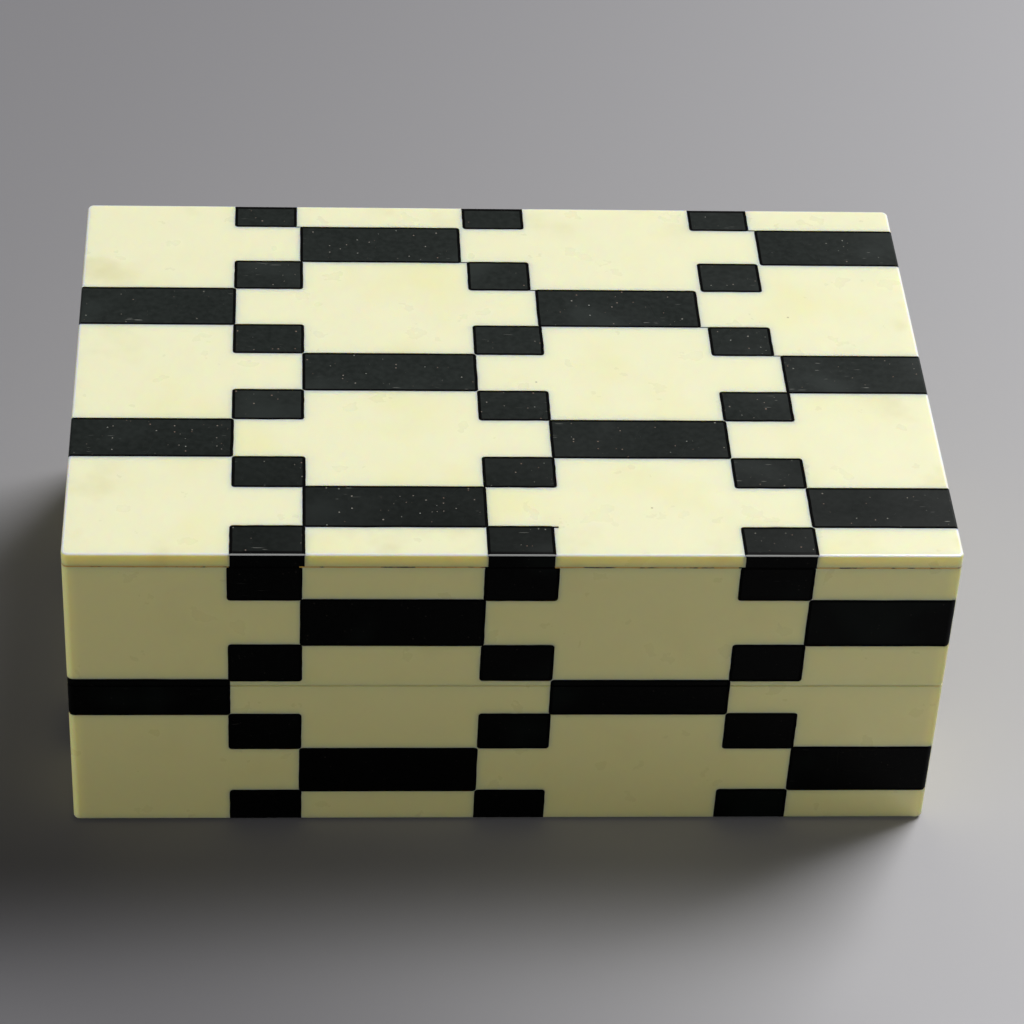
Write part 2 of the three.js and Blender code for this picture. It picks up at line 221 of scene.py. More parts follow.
for part in ("base", "lid"):
    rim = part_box("base_front_wall")[1].z if part == "base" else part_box("lid_front_wall")[0].z
    for side in ("front", "back", "left", "right"):
        node = f"{part}_{side}_wall"
        low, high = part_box(node)
        middle = (low + high) / 2
        wall = copy_of_node(node, f"{part}_{side}_wall_planed")
        lies_along = 0 if side in ("front", "back") else 1

        def on_inner_rim(edge):
            """The long edge where the rim meets the inside of the wall."""
            at = (edge.verts[0].co + edge.verts[1].co) / 2
            long_enough = abs(edge.verts[0].co[lies_along] - edge.verts[1].co[lies_along]) > shortest_rim
            inward = abs(at[1 - lies_along]) < abs(middle[1 - lies_along]) - past_middle
            return long_enough and inward and abs(at.z - rim) < 0.01 * MM

        pick(wall, "EDGE", on_inner_rim)
        bpy.ops.mesh.bevel(offset=arris_eased, segments=3, affect="EDGES")
        bpy.ops.object.mode_set(mode="OBJECT")
        finish_piece(wall, part, [node], short_grain if lies_along else long_grain)

for node in ("base_floor_board", "lid_top_board"):
    cover(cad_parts[node], long_grain)


# PATTERN
# Wide bars and small blocks that touch at their corners, set out with a rule on each face. On the
# lid the rows drift and the columns lean a little. The saw took a strip out of the walls' pattern.
box_low, box_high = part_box("lid_top_sheet")
length = (box_high.x - box_low.x) / MM
width = (box_high.y - box_low.y) / MM
height = box_high.z / MM
bar_length, block_length = 31, 12.3
lid_columns, lid_rows, lid_steps = (28.2 - bar_length, 28.2), (0, 6.8), (10.8, 8.4)
wall_columns, wall_rows, wall_steps = (27.8 - bar_length, 27.8), (2.65, 9.9), (10.3, 8.1)
seam, kerf = 29.65, 2.3
corner_touch = 0.2
columns_lean, rows_drift = 1.7, 0.95


def ruled_lines(first_two, steps, end):
    """The ruled lines across a face, by turns one step and then the other apart."""
    lines = list(first_two)
    while lines[-1] < end:
        lines.append(lines[-1] + steps[len(lines) % 2])
    return lines


def black_rectangles(columns, rows):
    """Left, right, upper and lower line of each black rectangle in mm from the face's corner, and
    which row and column it is in."""
    found = []
    for row in range(len(rows) - 1):
        for column in range(len(columns) - 1):
            block = column % 2 == 1 and row % 2 == 0
            bar = (column % 4 == 2 and row % 4 == 1) or (column % 4 == 0 and row % 4 == 3)
            if block or bar:
                found.append((columns[column], columns[column + 1], rows[row], rows[row + 1], row, column))
    return found


def laid_by_eye(u, v):
    """Where a point of the ruled pattern came to lie on the lid."""
    lean = columns_lean * (u / length) * (1 - v / width) ** 2
    drift = rows_drift * math.sin(math.pi * v / width) ** 2
    return u - lean, v + drift


# CREAM SHEETS
# Nine seamless polished sheets, 2.6 mm thick: one laps over the lid, and the walls' were sawn apart
# at the seam. They're warm, slightly translucent and faintly stained, with rounded arrises. Their
# upright faces are painted yellower as shade, with a painted glow at the corners and a painted
# highlight on the lid's arris.
def polished_cream(name, cream, stained, edge, painted_corner_glow, painted_arris_highlight, handling, wax):
    """A buffed bone-coloured resin sheet: light goes a millimetre or two into it and comes out warmer."""
    material, tree = new_material(name)
    place = add_node(tree, "TexCoord").outputs["Object"]
    cloud = add_node(tree, "TexNoise", {"Vector": place, "Scale": 34, "Detail": 3, "Roughness": 0.55})
    clouded = add_node(tree, "MapRange", {0: cloud.outputs[0], 1: 0.50, 2: 0.72},
                       interpolation_type="SMOOTHSTEP")
    ground = add_node(tree, "Mix", {0: clouded.outputs[0], 6: linear(cream), 7: linear(stained)},
                      data_type="RGBA")
    # Upright faces are painted warmer and yellower: painted shade for the warmer light on the cut edges
    facing = add_node(tree, "SeparateXYZ", {0: add_node(tree, "TexCoord").outputs["Normal"]})
    upright = add_node(tree, "MapRange", {0: facing.outputs["Z"], 1: 0.75, 2: 0.25})
    ground = add_node(tree, "Mix", {0: upright.outputs[0], 6: ground.outputs[2], 7: linear(edge)},
                      data_type="RGBA")
    # A painted glow at the box's upright corners stands in for light through the sheet there, and the
    # arris carries a pale painted highlight
    spot = add_node(tree, "SeparateXYZ", {0: place})
    ends = add_node(tree, "Math", {0: spot.outputs["X"]}, operation="ABSOLUTE")
    sides = add_node(tree, "Math", {0: spot.outputs["Y"]}, operation="ABSOLUTE")
    endways = add_node(tree, "Math", {0: facing.outputs["X"]}, operation="ABSOLUTE")
    not_end = add_node(tree, "MapRange", {0: endways.outputs[0], 1: 0.97, 2: 0.85})
    by_end = add_node(tree, "MapRange", {0: ends.outputs[0], 1: box_high.x - 2.8 * MM,
                                         2: box_high.x - 0.2 * MM}, interpolation_type="SMOOTHSTEP")
    corner = add_node(tree, "Math", {0: by_end.outputs[0], 1: not_end.outputs[0]}, operation="MULTIPLY")
    corner = add_node(tree, "Math", {0: corner.outputs[0], 1: upright.outputs[0]}, operation="MULTIPLY")
    ground = add_node(tree, "Mix", {0: corner.outputs[0], 6: ground.outputs[2], 7: linear(painted_corner_glow)},
                      data_type="RGBA")
    # Painted highlight: the upper arris is mixed towards a paler colour
    rounding = add_node(tree, "MapRange", {0: facing.outputs["Z"], 1: 0.995, 2: 0.985})
    not_side = add_node(tree, "MapRange", {0: facing.outputs["Z"], 1: 0.5, 2: 0.65})
    arris = add_node(tree, "Math", {0: rounding.outputs[0], 1: not_side.outputs[0]}, operation="MULTIPLY")
    ground = add_node(tree, "Mix", {0: arris.outputs[0], 6: ground.outputs[2], 7: linear(painted_arris_highlight)},
                      data_type="RGBA")
    # Handling has left faint olive-yellow smudges, mostly within a centimetre of the outer edges
    near_end = add_node(tree, "MapRange", {0: ends.outputs[0], 1: box_high.x - 14 * MM, 2: box_high.x})
    near_side = add_node(tree, "MapRange", {0: sides.outputs[0], 1: box_high.y - 11 * MM, 2: box_high.y})
    near_edge = add_node(tree, "Math", {0: near_end.outputs[0], 1: near_side.outputs[0]},
                         operation="MAXIMUM")
    handled = add_node(tree, "MapRange", {0: near_edge.outputs[0], 3: handling / 16, 4: handling})
    smear = add_node(tree, "TexNoise", {"Vector": place, "Scale": 80, "Detail": 3, "Roughness": 0.5})
    smeared = add_node(tree, "MapRange", {0: smear.outputs[0], 1: 0.50, 2: 0.78},
                       interpolation_type="SMOOTHSTEP")
    smudged = add_node(tree, "Math", {0: smeared.outputs[0], 1: handled.outputs[0]}, operation="MULTIPLY")
    yellowed = add_node(tree, "Mix", {0: smudged.outputs[0], 6: ground.outputs[2], 7: linear("#b9b266")},
                        data_type="RGBA")
    # Pinholes that hold brown dirt, about 0.3 mm across and a finger's width apart
    pit = add_node(tree, "TexVoronoi", {"Vector": place, "Scale": 95, "Randomness": 1})
    pitted = add_node(tree, "MapRange", {0: pit.outputs["Distance"], 1: 0.024, 2: 0.014, 3: 0, 4: 0.5})
    marked = add_node(tree, "Mix", {0: pitted.outputs[0], 6: yellowed.outputs[2], 7: linear("#6b4a2a")},
                      data_type="RGBA")
    haze = add_node(tree, "TexNoise", {"Vector": place, "Scale": 160, "Detail": 4})
    gloss = add_node(tree, "MapRange", {0: haze.outputs[0], 1: 0.3, 2: 0.7, 3: 0.26, 4: 0.36})
    bump = add_node(tree, "Bump", {"Height": haze.outputs[0], "Strength": 0.10, "Distance": 0.0002})
    shader = add_node(tree, "BsdfPrincipled", {
        "Base Color": marked.outputs[2], "Roughness": gloss.outputs[0], "Normal": bump.outputs[0],
        "IOR": 1.5, "Coat Weight": wax, "Coat Roughness": 0.15, "Subsurface Weight": 0.8,
        "Subsurface Radius": (1.0, 0.75, 0.32), "Subsurface Scale": 0.0025})
    add_node(tree, "OutputMaterial", {0: shader.outputs[0]})
    return material


# On the lid's sheet, the upright faces are painted yellower, as shade
cream_top = polished_cream("polished_cream_resin_lid", cream="#f4f1cc", stained="#f2eebe", edge="#ffec92",
                           painted_corner_glow="#fff09a", painted_arris_highlight="#fffdf0", handling=0.42, wax=1.0)
# The walls' cream is a darker, yellower copy of the lid's: painted shade on the upright walls
cream_walls_painted_shade = polished_cream("polished_cream_resin_walls_painted_shade", cream="#f0e8a5", stained="#eee49d",
                             edge="#f0e8a5", painted_corner_glow="#fff2a6", painted_arris_highlight="#f0e8a5", handling=0.07, wax=0.0)
arris_round = (0.5 * MM, 5)
corner_round = (1.2 * MM, 8)
sawn_arris = (0.1 * MM, 2)
glue_groove = (0.1 * MM, 1)
nearly = 0.001 * MM


def add_block(name, low, high):
    """A block between two corners, ready to be shaped in edit mode."""
    bpy.ops.object.select_all(action="DESELECT")
    bpy.ops.mesh.primitive_cube_add(size=1, location=(low + high) / 2)
    piece = bpy.context.object
    piece.name = name
    piece.scale = high - low
    bpy.ops.object.transform_apply(location=True, rotation=True, scale=True)
    bpy.ops.object.mode_set(mode="EDIT")
    return piece


def round_edges(piece, arris, test):
    """Rounds the edges whose two ends pass the test; an arris is a radius and how many flats it has."""
    pick(piece, "EDGE", lambda edge: test(edge.verts[0].co, edge.verts[1].co))
    bpy.ops.mesh.bevel(offset=arris[0], segments=arris[1], affect="EDGES")


def sheet_blank(node, name, top_arris, bottom_arris, ends_rounded):
    """A sheet as it was cut and eased, before the pattern was let in, in edit mode."""
    low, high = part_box(node)
    piece = add_block(name, low, high)
    if ends_rounded:
        outside = width / 2 * MM - nearly
        round_edges(piece, corner_round,
                    lambda a, b: abs(a.z - b.z) > 1 * MM and abs(a.y) > outside and abs(b.y) > outside)
    round_edges(piece, bottom_arris, lambda a, b: max(a.z, b.z) < low.z + nearly)
    round_edges(piece, top_arris, lambda a, b: min(a.z, b.z) > high.z - nearly)
    return piece


def cut(piece, cutter, operation):
    """Cuts the piece with the cutter, or keeps what they share."""
    make_active(piece)
    modifier = piece.modifiers.new("cut", "BOOLEAN")
    modifier.object = cutter
    modifier.operation = operation
    modifier.solver = "EXACT"
    bpy.ops.object.modifier_apply(modifier=modifier.name)


hinge_y, hinge_z = 49 * MM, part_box("base_front_wall")[1].z + 0.1 * MM
hinge_places = [(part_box(f"hinge_{side}_pin")[0].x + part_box(f"hinge_{side}_pin")[1].x) / 2
                for side in ("left", "right")]
groove_angle = math.radians(50.5)
barrel_round, barrel_long = 1.65 * MM, 21.2 * MM


def groove_back(piece, part):
    """Planes the sloping side of the hinge groove, and hollows it out for the two barrels."""
    up = 1 if part == "base" else -1
    bpy.ops.mesh.select_all(action="SELECT")
    bpy.ops.mesh.bisect(plane_co=(0, hinge_y, hinge_z), clear_outer=True, use_fill=True,
                        plane_no=(0, math.sin(groove_angle), up * math.cos(groove_angle)))
    bpy.ops.object.mode_set(mode="OBJECT")
    for x in hinge_places:
        bpy.ops.object.select_all(action="DESELECT")
        bpy.ops.mesh.primitive_cylinder_add(vertices=48, radius=barrel_round, depth=barrel_long,
                                            location=(x, hinge_y, hinge_z), rotation=(0, math.pi / 2, 0))
        barrel = bpy.context.object
        cut(piece, barrel, "DIFFERENCE")
        bpy.data.objects.remove(barrel)


# BLACK RECTANGLES
# Each was scribed round with a knife and a rule, cut out 1 mm deep, filled with black lac and
# rubbed level. The scribed line stays as a darker, duller rim with a rounded corner.
def black_lac(name, lac, dust, painted_sheen_grey, painted_arris_highlight, gritty, shine):
    """Lac rubbed level with fine grit: fine dull grain, pale grit and scratches, greyer patches of
    painted sheen, painted shade to the front and a painted highlight on the arris.
    """
    material, tree = new_material(name)
    place = add_node(tree, "TexCoord").outputs["Object"]
    grain = add_node(tree, "TexNoise", {"Vector": place, "Scale": 900, "Detail": 4, "Roughness": 0.6})
    dusty = add_node(tree, "MapRange", {0: grain.outputs[0], 1: 0.35, 2: 0.75})
    ground = add_node(tree, "Mix", {0: dusty.outputs[0], 6: linear(lac), 7: linear(dust)},
                      data_type="RGBA")
    # Greyer patches of painted sheen
    patch = add_node(tree, "TexNoise", {"Vector": place, "Scale": 48, "Detail": 2})
    painted_sheen_patches = add_node(tree, "MapRange", {0: patch.outputs[0], 1: 0.54, 2: 0.72, 3: 0, 4: 0.8},
                      interpolation_type="SMOOTHSTEP")
    ground = add_node(tree, "Mix", {0: painted_sheen_patches.outputs[0], 6: ground.outputs[2], 7: linear(painted_sheen_grey)},
                      data_type="RGBA")
    # Painted shade: the lac is darker towards the front
    spot = add_node(tree, "SeparateXYZ", {0: place})
    painted_front_shade = add_node(tree, "MapRange", {0: spot.outputs["Y"], 1: -5 * MM, 2: -45 * MM, 3: 0, 4: 0.45})
    ground = add_node(tree, "Mix", {0: painted_front_shade.outputs[0], 6: ground.outputs[2], 7: linear("#040504")},
                      data_type="RGBA")
    # Pale grit in the lac, mostly grains of 0.1 to 0.2 mm, some of them brownish
    speck = add_node(tree, "TexVoronoi", {"Vector": place, "Scale": 950, "Randomness": 1})
    chosen = add_node(tree, "SeparateColor", {0: speck.outputs["Color"]})
    reach = add_node(tree, "MapRange", {0: chosen.outputs[0], 1: 0.5, 2: 1.0, 3: 0.03, 4: 0.15})
    dot = add_node(tree, "Math", {0: speck.outputs["Distance"], 1: reach.outputs[0]},
                   operation="LESS_THAN")
    seen = add_node(tree, "Math", {0: dot.outputs[0], 1: gritty}, operation="MULTIPLY")
    grit = add_node(tree, "Mix", {0: chosen.outputs[1], 6: linear("#a3a79f"), 7: linear("#8f7466")},
                    data_type="RGBA")
    speckled = add_node(tree, "Mix", {0: seen.outputs[0], 6: ground.outputs[2], 7: grit.outputs[2]},
                        data_type="RGBA")
    # Hairline scratches, 2 or 3 mm long, where a soft mask lets them through
    skewed = add_node(tree, "Mapping", {"Vector": place, "Rotation": (0.3, 0.2, 0.35),
                                        "Scale": (1, 13, 13)})
    hair = add_node(tree, "TexNoise", {"Vector": skewed.outputs[0], "Scale": 330, "Detail": 1})
    line = add_node(tree, "MapRange", {0: hair.outputs[0], 1: 0.73, 2: 0.78})
    where = add_node(tree, "TexNoise", {"Vector": place, "Scale": 90, "Detail": 1})
    here = add_node(tree, "MapRange", {0: where.outputs[0], 1: 0.55, 2: 0.65, 3: 0, 4: gritty})
    scratch = add_node(tree, "Math", {0: line.outputs[0], 1: here.outputs[0]}, operation="MULTIPLY")
    scratched = add_node(tree, "Mix", {0: scratch.outputs[0], 6: speckled.outputs[2],
                                       7: linear("#a9a9a2")}, data_type="RGBA")
    # The scribed line runs along the lid's front and back edges, and the arris outside it carries a pale
    # painted highlight
    sides = add_node(tree, "Math", {0: spot.outputs["Y"]}, operation="ABSOLUTE")
    by_side = add_node(tree, "MapRange", {0: sides.outputs[0], 1: box_high.y - 1.1 * MM,
                                          2: box_high.y - 1 * MM})
    facing = add_node(tree, "SeparateXYZ", {0: add_node(tree, "TexCoord").outputs["Normal"]})
    flat = add_node(tree, "MapRange", {0: facing.outputs["Z"], 1: 0.3, 2: 0.6})
    lined = add_node(tree, "Math", {0: by_side.outputs[0], 1: flat.outputs[0]}, operation="MULTIPLY")
    outlined = add_node(tree, "Mix", {0: lined.outputs[0], 6: scratched.outputs[2], 7: linear("#030303")},
                        data_type="RGBA")
    rounding = add_node(tree, "MapRange", {0: facing.outputs["Z"], 1: 0.97, 2: 0.93})
    arris = add_node(tree, "Math", {0: rounding.outputs[0], 1: lined.outputs[0]}, operation="MULTIPLY")
    finished = add_node(tree, "Mix", {0: arris.outputs[0], 6: outlined.outputs[2], 7: linear(painted_arris_highlight)},
                        data_type="RGBA")
    gloss = add_node(tree, "MapRange", {0: patch.outputs[0], 1: 0.3, 2: 0.7, 3: 0.24, 4: 0.34})
    bump = add_node(tree, "Bump", {"Height": grain.outputs[0], "Strength": 0.02, "Distance": 0.0001})
    shader = add_node(tree, "BsdfPrincipled", {"Base Color": finished.outputs[2], "IOR": 1.5,
                                               "Roughness": gloss.outputs[0],
                                               "Specular IOR Level": shine,
                                               "Normal": bump.outputs[0]})
    add_node(tree, "OutputMaterial", {0: shader.outputs[0]})
    return material


lac_top = black_lac("rubbed_black_lac_lid", lac="#1d211f", dust="#282c2a", painted_sheen_grey="#2c312f",
                    painted_arris_highlight="#a2a3a1", gritty=0.65, shine=0.14)
# The walls' lac is a blacker copy of the lid's: painted shade on the upright faces
lac_walls_painted_shade = black_lac("rubbed_black_lac_walls", lac="#020202", dust="#060707", painted_sheen_grey="#141a17",
                      painted_arris_highlight="#060707", gritty=0.05, shine=0.04)

scribed_black, tree = new_material("scribed_line_filled_with_lampblack")
place = add_node(tree, "TexCoord").outputs["Object"]
soot = add_node(tree, "TexNoise", {"Vector": place, "Scale": 900, "Detail": 2})
ink = add_node(tree, "Mix", {0: soot.outputs[0], 6: linear("#020202"), 7: linear("#070707")},
               data_type="RGBA")
shader = add_node(tree, "BsdfPrincipled", {"Base Color": ink.outputs[2], "Roughness": 0.85,
                                           "Specular IOR Level": 0.04})
add_node(tree, "OutputMaterial", {0: shader.outputs[0]})

rim_wide = 0.55 * MM
rim_fall = 0.035 * MM
just_below = 0.012 * MM
inlay_deep = 1 * MM
through = 3.2 * MM
above = 1 * MM
corner_soft = 0.62 * MM
straight_side, side_cuts = 3 * MM, 5
wobble = 0.055 * MM
ruled_by_hand = 0.1


def flat_outlines(name, rectangles, seed):
    """Rectangles laid flat and seen from outside, with soft corners and edges cut by hand."""
    hand = random.Random(seed)
    planes = []
    for rectangle in rectangles:
        left, right, upper, lower = (line + hand.uniform(-ruled_by_hand, ruled_by_hand)
                                     for line in rectangle)
        bpy.ops.object.select_all(action="DESELECT")
        bpy.ops.mesh.primitive_plane_add(size=1)
        plane = bpy.context.object
        plane.scale = ((right - left + 2 * corner_touch) * MM, (lower - upper + 2 * corner_touch) * MM, 1)
        plane.location = ((left + right) / 2 * MM, -(upper + lower) / 2 * MM, 0)
        planes.append(plane)
    piece = join_all(planes)
    piece.name = name
    bpy.ops.object.transform_apply(location=True, rotation=True, scale=True)
    bpy.ops.object.mode_set(mode="EDIT")
    bpy.ops.mesh.select_all(action="SELECT")
    bpy.ops.mesh.bevel(affect="VERTICES", offset=corner_soft, segments=3)
    pick(piece, "EDGE", lambda edge: edge.calc_length() > straight_side)
    bpy.ops.mesh.subdivide(number_cuts=side_cuts)
    pick(piece, "VERT", lambda vert: min(edge.calc_length() for edge in vert.link_edges) > 0.5 * MM)
    bpy.ops.transform.vertex_random(offset=wobble, uniform=0, normal=0, seed=seed)
    bpy.ops.transform.resize(value=(1, 1, 0), center_override=(0, 0, 0))
    bpy.ops.object.mode_set(mode="OBJECT")
    return piece


def thicken(piece, top, depth):
    """Moves a flat outline up to top, gives it its depth downward and leaves it in edit mode."""
    make_active(piece)
    modifier = piece.modifiers.new("depth", "SOLIDIFY")
    modifier.thickness = depth
    modifier.offset = -1
    bpy.ops.object.modifier_apply(modifier=modifier.name)
    bpy.ops.object.mode_set(mode="EDIT")
    bpy.ops.mesh.select_all(action="SELECT")
    bpy.ops.transform.translate(value=(0, 0, top))


def duplicate(piece, name):
    """A copy of the piece with its own mesh."""
    twin = bpy.data.objects.new(name, piece.data.copy())
    bpy.context.scene.collection.objects.link(twin)
    return twin


def fill_and_pocket(name, rectangles, depth, seed, lac):
    """The lac fillings of some rectangles with their scribed rims, and the pockets they fill."""
    filling = flat_outlines(name, rectangles, seed)
    pocket = duplicate(filling, name + "_pocket")
    thicken(pocket, above, depth + above)
    bpy.ops.object.mode_set(mode="OBJECT")
    thicken(filling, -just_below - rim_fall, depth - just_below - rim_fall)
    pick(filling, "FACE", lambda face: face.normal.z > 0.5)
    bpy.ops.mesh.inset(thickness=rim_wide, depth=rim_fall, use_individual=True)
    bpy.ops.object.mode_set(mode="OBJECT")
    for face in filling.data.polygons:
        face.material_index = 1 if 0.5 < face.normal.z and not face.select else 0
    filling.data.materials.append(lac)
    filling.data.materials.append(scribed_black)
    return filling, pocket


def join_all(pieces):
    """Makes one piece of several, under the first one's name."""
    make_active(pieces[0])
    for piece in pieces:
        piece.select_set(True)
    if len(pieces) > 1:
        bpy.ops.object.join()
    return pieces[0]


def turn_to_face(pieces, corner, turn):
    """Stands flat pieces up against a face: corner is its upper left one, seen from outside."""
    for piece in pieces:
        make_active(piece)
        piece.location = corner
        piece.rotation_euler = turn
        bpy.ops.object.transform_apply(location=True, rotation=True, scale=True)


def let_in(part, side, blank, blocks, bars, cream):
    """Trims the fillings level with the sheet, cuts their pockets into it, and hands both over."""
    node = f"{part}_{side}"
    for filling, pocket in (blocks, bars):
        cut(filling, blank, "INTERSECT")
    cut(blocks[0], bars[1], "DIFFERENCE")
    for filling, pocket in (blocks, bars):
        cut(blank, pocket, "DIFFERENCE")
    for filling, pocket in (blocks, bars):
        bpy.data.objects.remove(pocket)
    finish_piece(blank, part, [node + "_sheet"], cream)
    rectangles = join_all([blocks[0], bars[0]])
    rectangles.name = node + "_rectangles"
    finish_piece(rectangles, part, [node + "_inlay"])


# The lid's top: blocks and bars that reach an edge go right through the sheet there. Some were cut
# short at their right, by these mm for each row and column, and only the scribed line runs on
cut_short = {(0, 1): 1.0, (0, 3): 1.1, (0, 5): 1.3, (1, 2): 1.3, (2, 3): 1.1, (2, 5): 1.2, (3, 4): 1.4,
             (4, 5): 1.2, (10, 3): 1.3}
overshoot, overshoot_down = 0.85, 0.08
last_row = 10
fine_line, last_line = 0.13, 0.21
scribed = []
columns = ruled_lines(lid_columns, (block_length, bar_length), length)
rows = ruled_lines(lid_rows, lid_steps, width)
ruled = [rectangle[4:] for rectangle in black_rectangles(columns, rows)]
kinds = []
for is_block, seed in ((True, 11), (False, 13)):
    inner, outer = [], []
    for left, right, upper, lower, row, column in black_rectangles(columns, rows):
        if (row % 2 == 0) != is_block:
            continue
        middle_u, middle_v = (left + right) / 2, (upper + lower) / 2
        left, right = laid_by_eye(left, middle_v)[0], laid_by_eye(right, middle_v)[0]
        upper, lower = laid_by_eye(middle_u, upper)[1], laid_by_eye(middle_u, lower)[1]
        reaches = left < 1 or upper < 1 or right > length - 1 or lower > width - 1
        short = cut_short.get((row, column), 0)
        if short and (row + 1, column + 1) in ruled:
            scribed.append((right - short - corner_touch, right + corner_touch, lower, fine_line))
        if short and row == last_row:
            line_end = right - short + corner_touch + overshoot
            scribed.append((right - short - 1, line_end, upper + overshoot_down, last_line))
        trimmed = (max(left, 0), min(right - short, length), max(upper, 0), min(lower, width))
        (outer if reaches else inner).append(trimmed)
    inside = fill_and_pocket("lid_top", inner, inlay_deep, seed, lac_top)
    outside = fill_and_pocket("lid_edge", outer, through, seed + 1, lac_top)
    kinds.append([join_all(pair) for pair in zip(inside, outside)])
    turn_to_face(kinds[-1], (box_low.x, box_high.y, box_high.z), (0, 0, 0))
blank = sheet_blank("lid_top_sheet", "lid_top_cream", arris_round, glue_groove, True)
bpy.ops.object.mode_set(mode="OBJECT")
let_in("lid", "top", blank, *kinds, cream_top)
# Where they come out at the sheet's edge, their upright faces take the walls' darker lac, as painted shade
rectangles = bpy.data.objects["lid_top_rectangles"]
rectangles.data.materials.append(lac_walls_painted_shade)
for face in rectangles.data.polygons:
    if abs(face.normal.z) < 0.5:
        face.material_index = len(rectangles.data.materials) - 1

line_deep = 0.4 * MM
line_below = 0.03 * MM
line_round = (0.12 * MM, 3)
lines = []
for left, right, at, half_wide in scribed:
    corner = Vector((box_low.x + left * MM, box_high.y - (at + half_wide) * MM, box_high.z - line_deep))
    size = Vector(((right - left) * MM, 2 * half_wide * MM, line_deep - line_below))
    lines.append(add_block("lid_top_scribed_lines", corner, corner + size))
    round_edges(lines[-1], line_round, lambda a, b: abs(a.z - b.z) > line_deep / 2)
    bpy.ops.object.mode_set(mode="OBJECT")
lines = join_all(lines)
slots = duplicate(lines, "slots")
for vertex in slots.data.vertices:
    if vertex.co.z > box_high.z - line_deep / 2:
        vertex.co.z = box_high.z + above
cut(bpy.data.objects["lid_top_cream"], slots, "DIFFERENCE")
bpy.data.objects.remove(slots)
finish_piece(lines, "lid", ["lid_top_inlay"], scribed_black)

# The walls: a bar starts at the left corner, and at the right stops just short of the rounding
short_of_corner = 0.5
quarter = math.pi / 2
wall_faces = {
    "front": (length, (box_low.x, box_low.y, box_high.z), 0, 21),
    "right": (width, (box_high.x, box_low.y, box_high.z), quarter, 22),
    "back": (length, (box_high.x, box_high.y, box_high.z), 2 * quarter, 23),
    "left": (width, (box_low.x, box_high.y, box_high.z), -quarter, 24),
}
for side, (span, corner, turn, seed) in wall_faces.items():
    columns = ruled_lines(wall_columns, (block_length, bar_length), span)
    rows = ruled_lines(wall_rows, wall_steps, height + kerf)
    rows = [max(line - kerf, seam) if line > seam else line for line in rows]
    ends = short_of_corner if span == length else 0
    kinds = []
    for is_block in (True, False):
        rectangles = [(max(left, 0), min(right, span - ends), upper, lower)
                      for left, right, upper, lower, row, column in black_rectangles(columns, rows)
                      if (row % 2 == 0) == is_block]
        kinds.append(fill_and_pocket(side + "_wall", rectangles, inlay_deep, seed + 10 * is_block,
                                     lac_walls_painted_shade))
        turn_to_face(kinds[-1], corner, (quarter, 0, turn))
    for part in ("base", "lid"):
        top_arris = glue_groove if part == "lid" else sawn_arris
        blank = sheet_blank(f"{part}_{side}_sheet", f"{part}_{side}_cream", top_arris, sawn_arris,
                            span == length)
        if side == "back":
            groove_back(blank, part)
        else:
            bpy.ops.object.mode_set(mode="OBJECT")
        own = [[duplicate(piece, part + "_" + piece.name) for piece in kind] for kind in kinds]
        let_in(part, side, blank, *own, cream_walls_painted_shade)
    for kind in kinds:
        for piece in kind:
            bpy.data.objects.remove(piece)


# GLUE LINE
# The film of brown glue under the lid's top sheet. What was squeezed out along the joint has set in
# the groove between the eased edges as a thin, uneven line, amber with darker lumps.
dried_glue, tree = new_material("dried_brown_glue")
place = add_node(tree, "TexCoord").outputs["Object"]
lumps = add_node(tree, "TexNoise", {"Vector": place, "Scale": 420, "Detail": 3, "Roughness": 0.6})
dark = add_node(tree, "MapRange", {0: lumps.outputs[0], 1: 0.52, 2: 0.64})
amber = add_node(tree, "Mix", {0: dark.outputs[0], 6: linear("#dfae4a"), 7: linear("#4a3018")},
                 data_type="RGBA")
shader = add_node(tree, "BsdfPrincipled", {"Base Color": amber.outputs[2], "Roughness": 0.45, "IOR": 1.5,
                                           "Subsurface Weight": 0.1, "Subsurface Scale": 0.0005})
add_node(tree, "OutputMaterial", {0: shader.outputs[0]})

glue_low, glue_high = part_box("lid_top_sheet")
joint = (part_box("lid_front_wall")[1].z + glue_low.z) / 2
bead_half = 0.13 * MM
bead_back = 0.005 * MM
bead_deep = 0.2 * MM
bead_steps = 110
bead_uneven = 0.028 * MM
film_half = 0.02 * MM
glue = add_block("lid_glue_line",
                 Vector((glue_low.x + bead_back, glue_low.y + bead_back, joint - bead_half)),
                 Vector((glue_high.x - bead_back, glue_high.y - bead_back, joint + bead_half)))
round_edges(glue, corner_round, lambda a, b: abs(a.z - b.z) > bead_half)
pick(glue, "EDGE", lambda edge: edge.calc_length() > 20 * MM)
bpy.ops.mesh.subdivide(number_cuts=bead_steps)
bpy.ops.mesh.select_all(action="SELECT")
bpy.ops.transform.vertex_random(offset=bead_uneven, uniform=0, normal=0, seed=31)
pick(glue, "FACE", lambda face: abs(face.normal.z) > 0.7)
bpy.ops.mesh.inset(thickness=bead_deep, depth=film_half - bead_half, use_individual=True)
bpy.ops.object.mode_set(mode="OBJECT")
glue.data.materials.append(dried_glue)
# Against the black blocks it's as black as they are
glue.data.materials.append(scribed_black)
for face in glue.data.polygons:
    at = face.center
    if abs(at.y) > glue_high.y - 1 * MM:
        span, along = length, (at.x - box_low.x if at.y < 0 else box_high.x - at.x) / MM
    else:
        span, along = width, (at.y - box_low.y if at.x > 0 else box_high.y - at.y) / MM
    columns = ruled_lines(wall_columns, (block_length, bar_length), span)
    if any(start < along < end for start, end in zip(columns[1::2], columns[2::2])):
        face.material_index = 1
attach(glue, "lid")


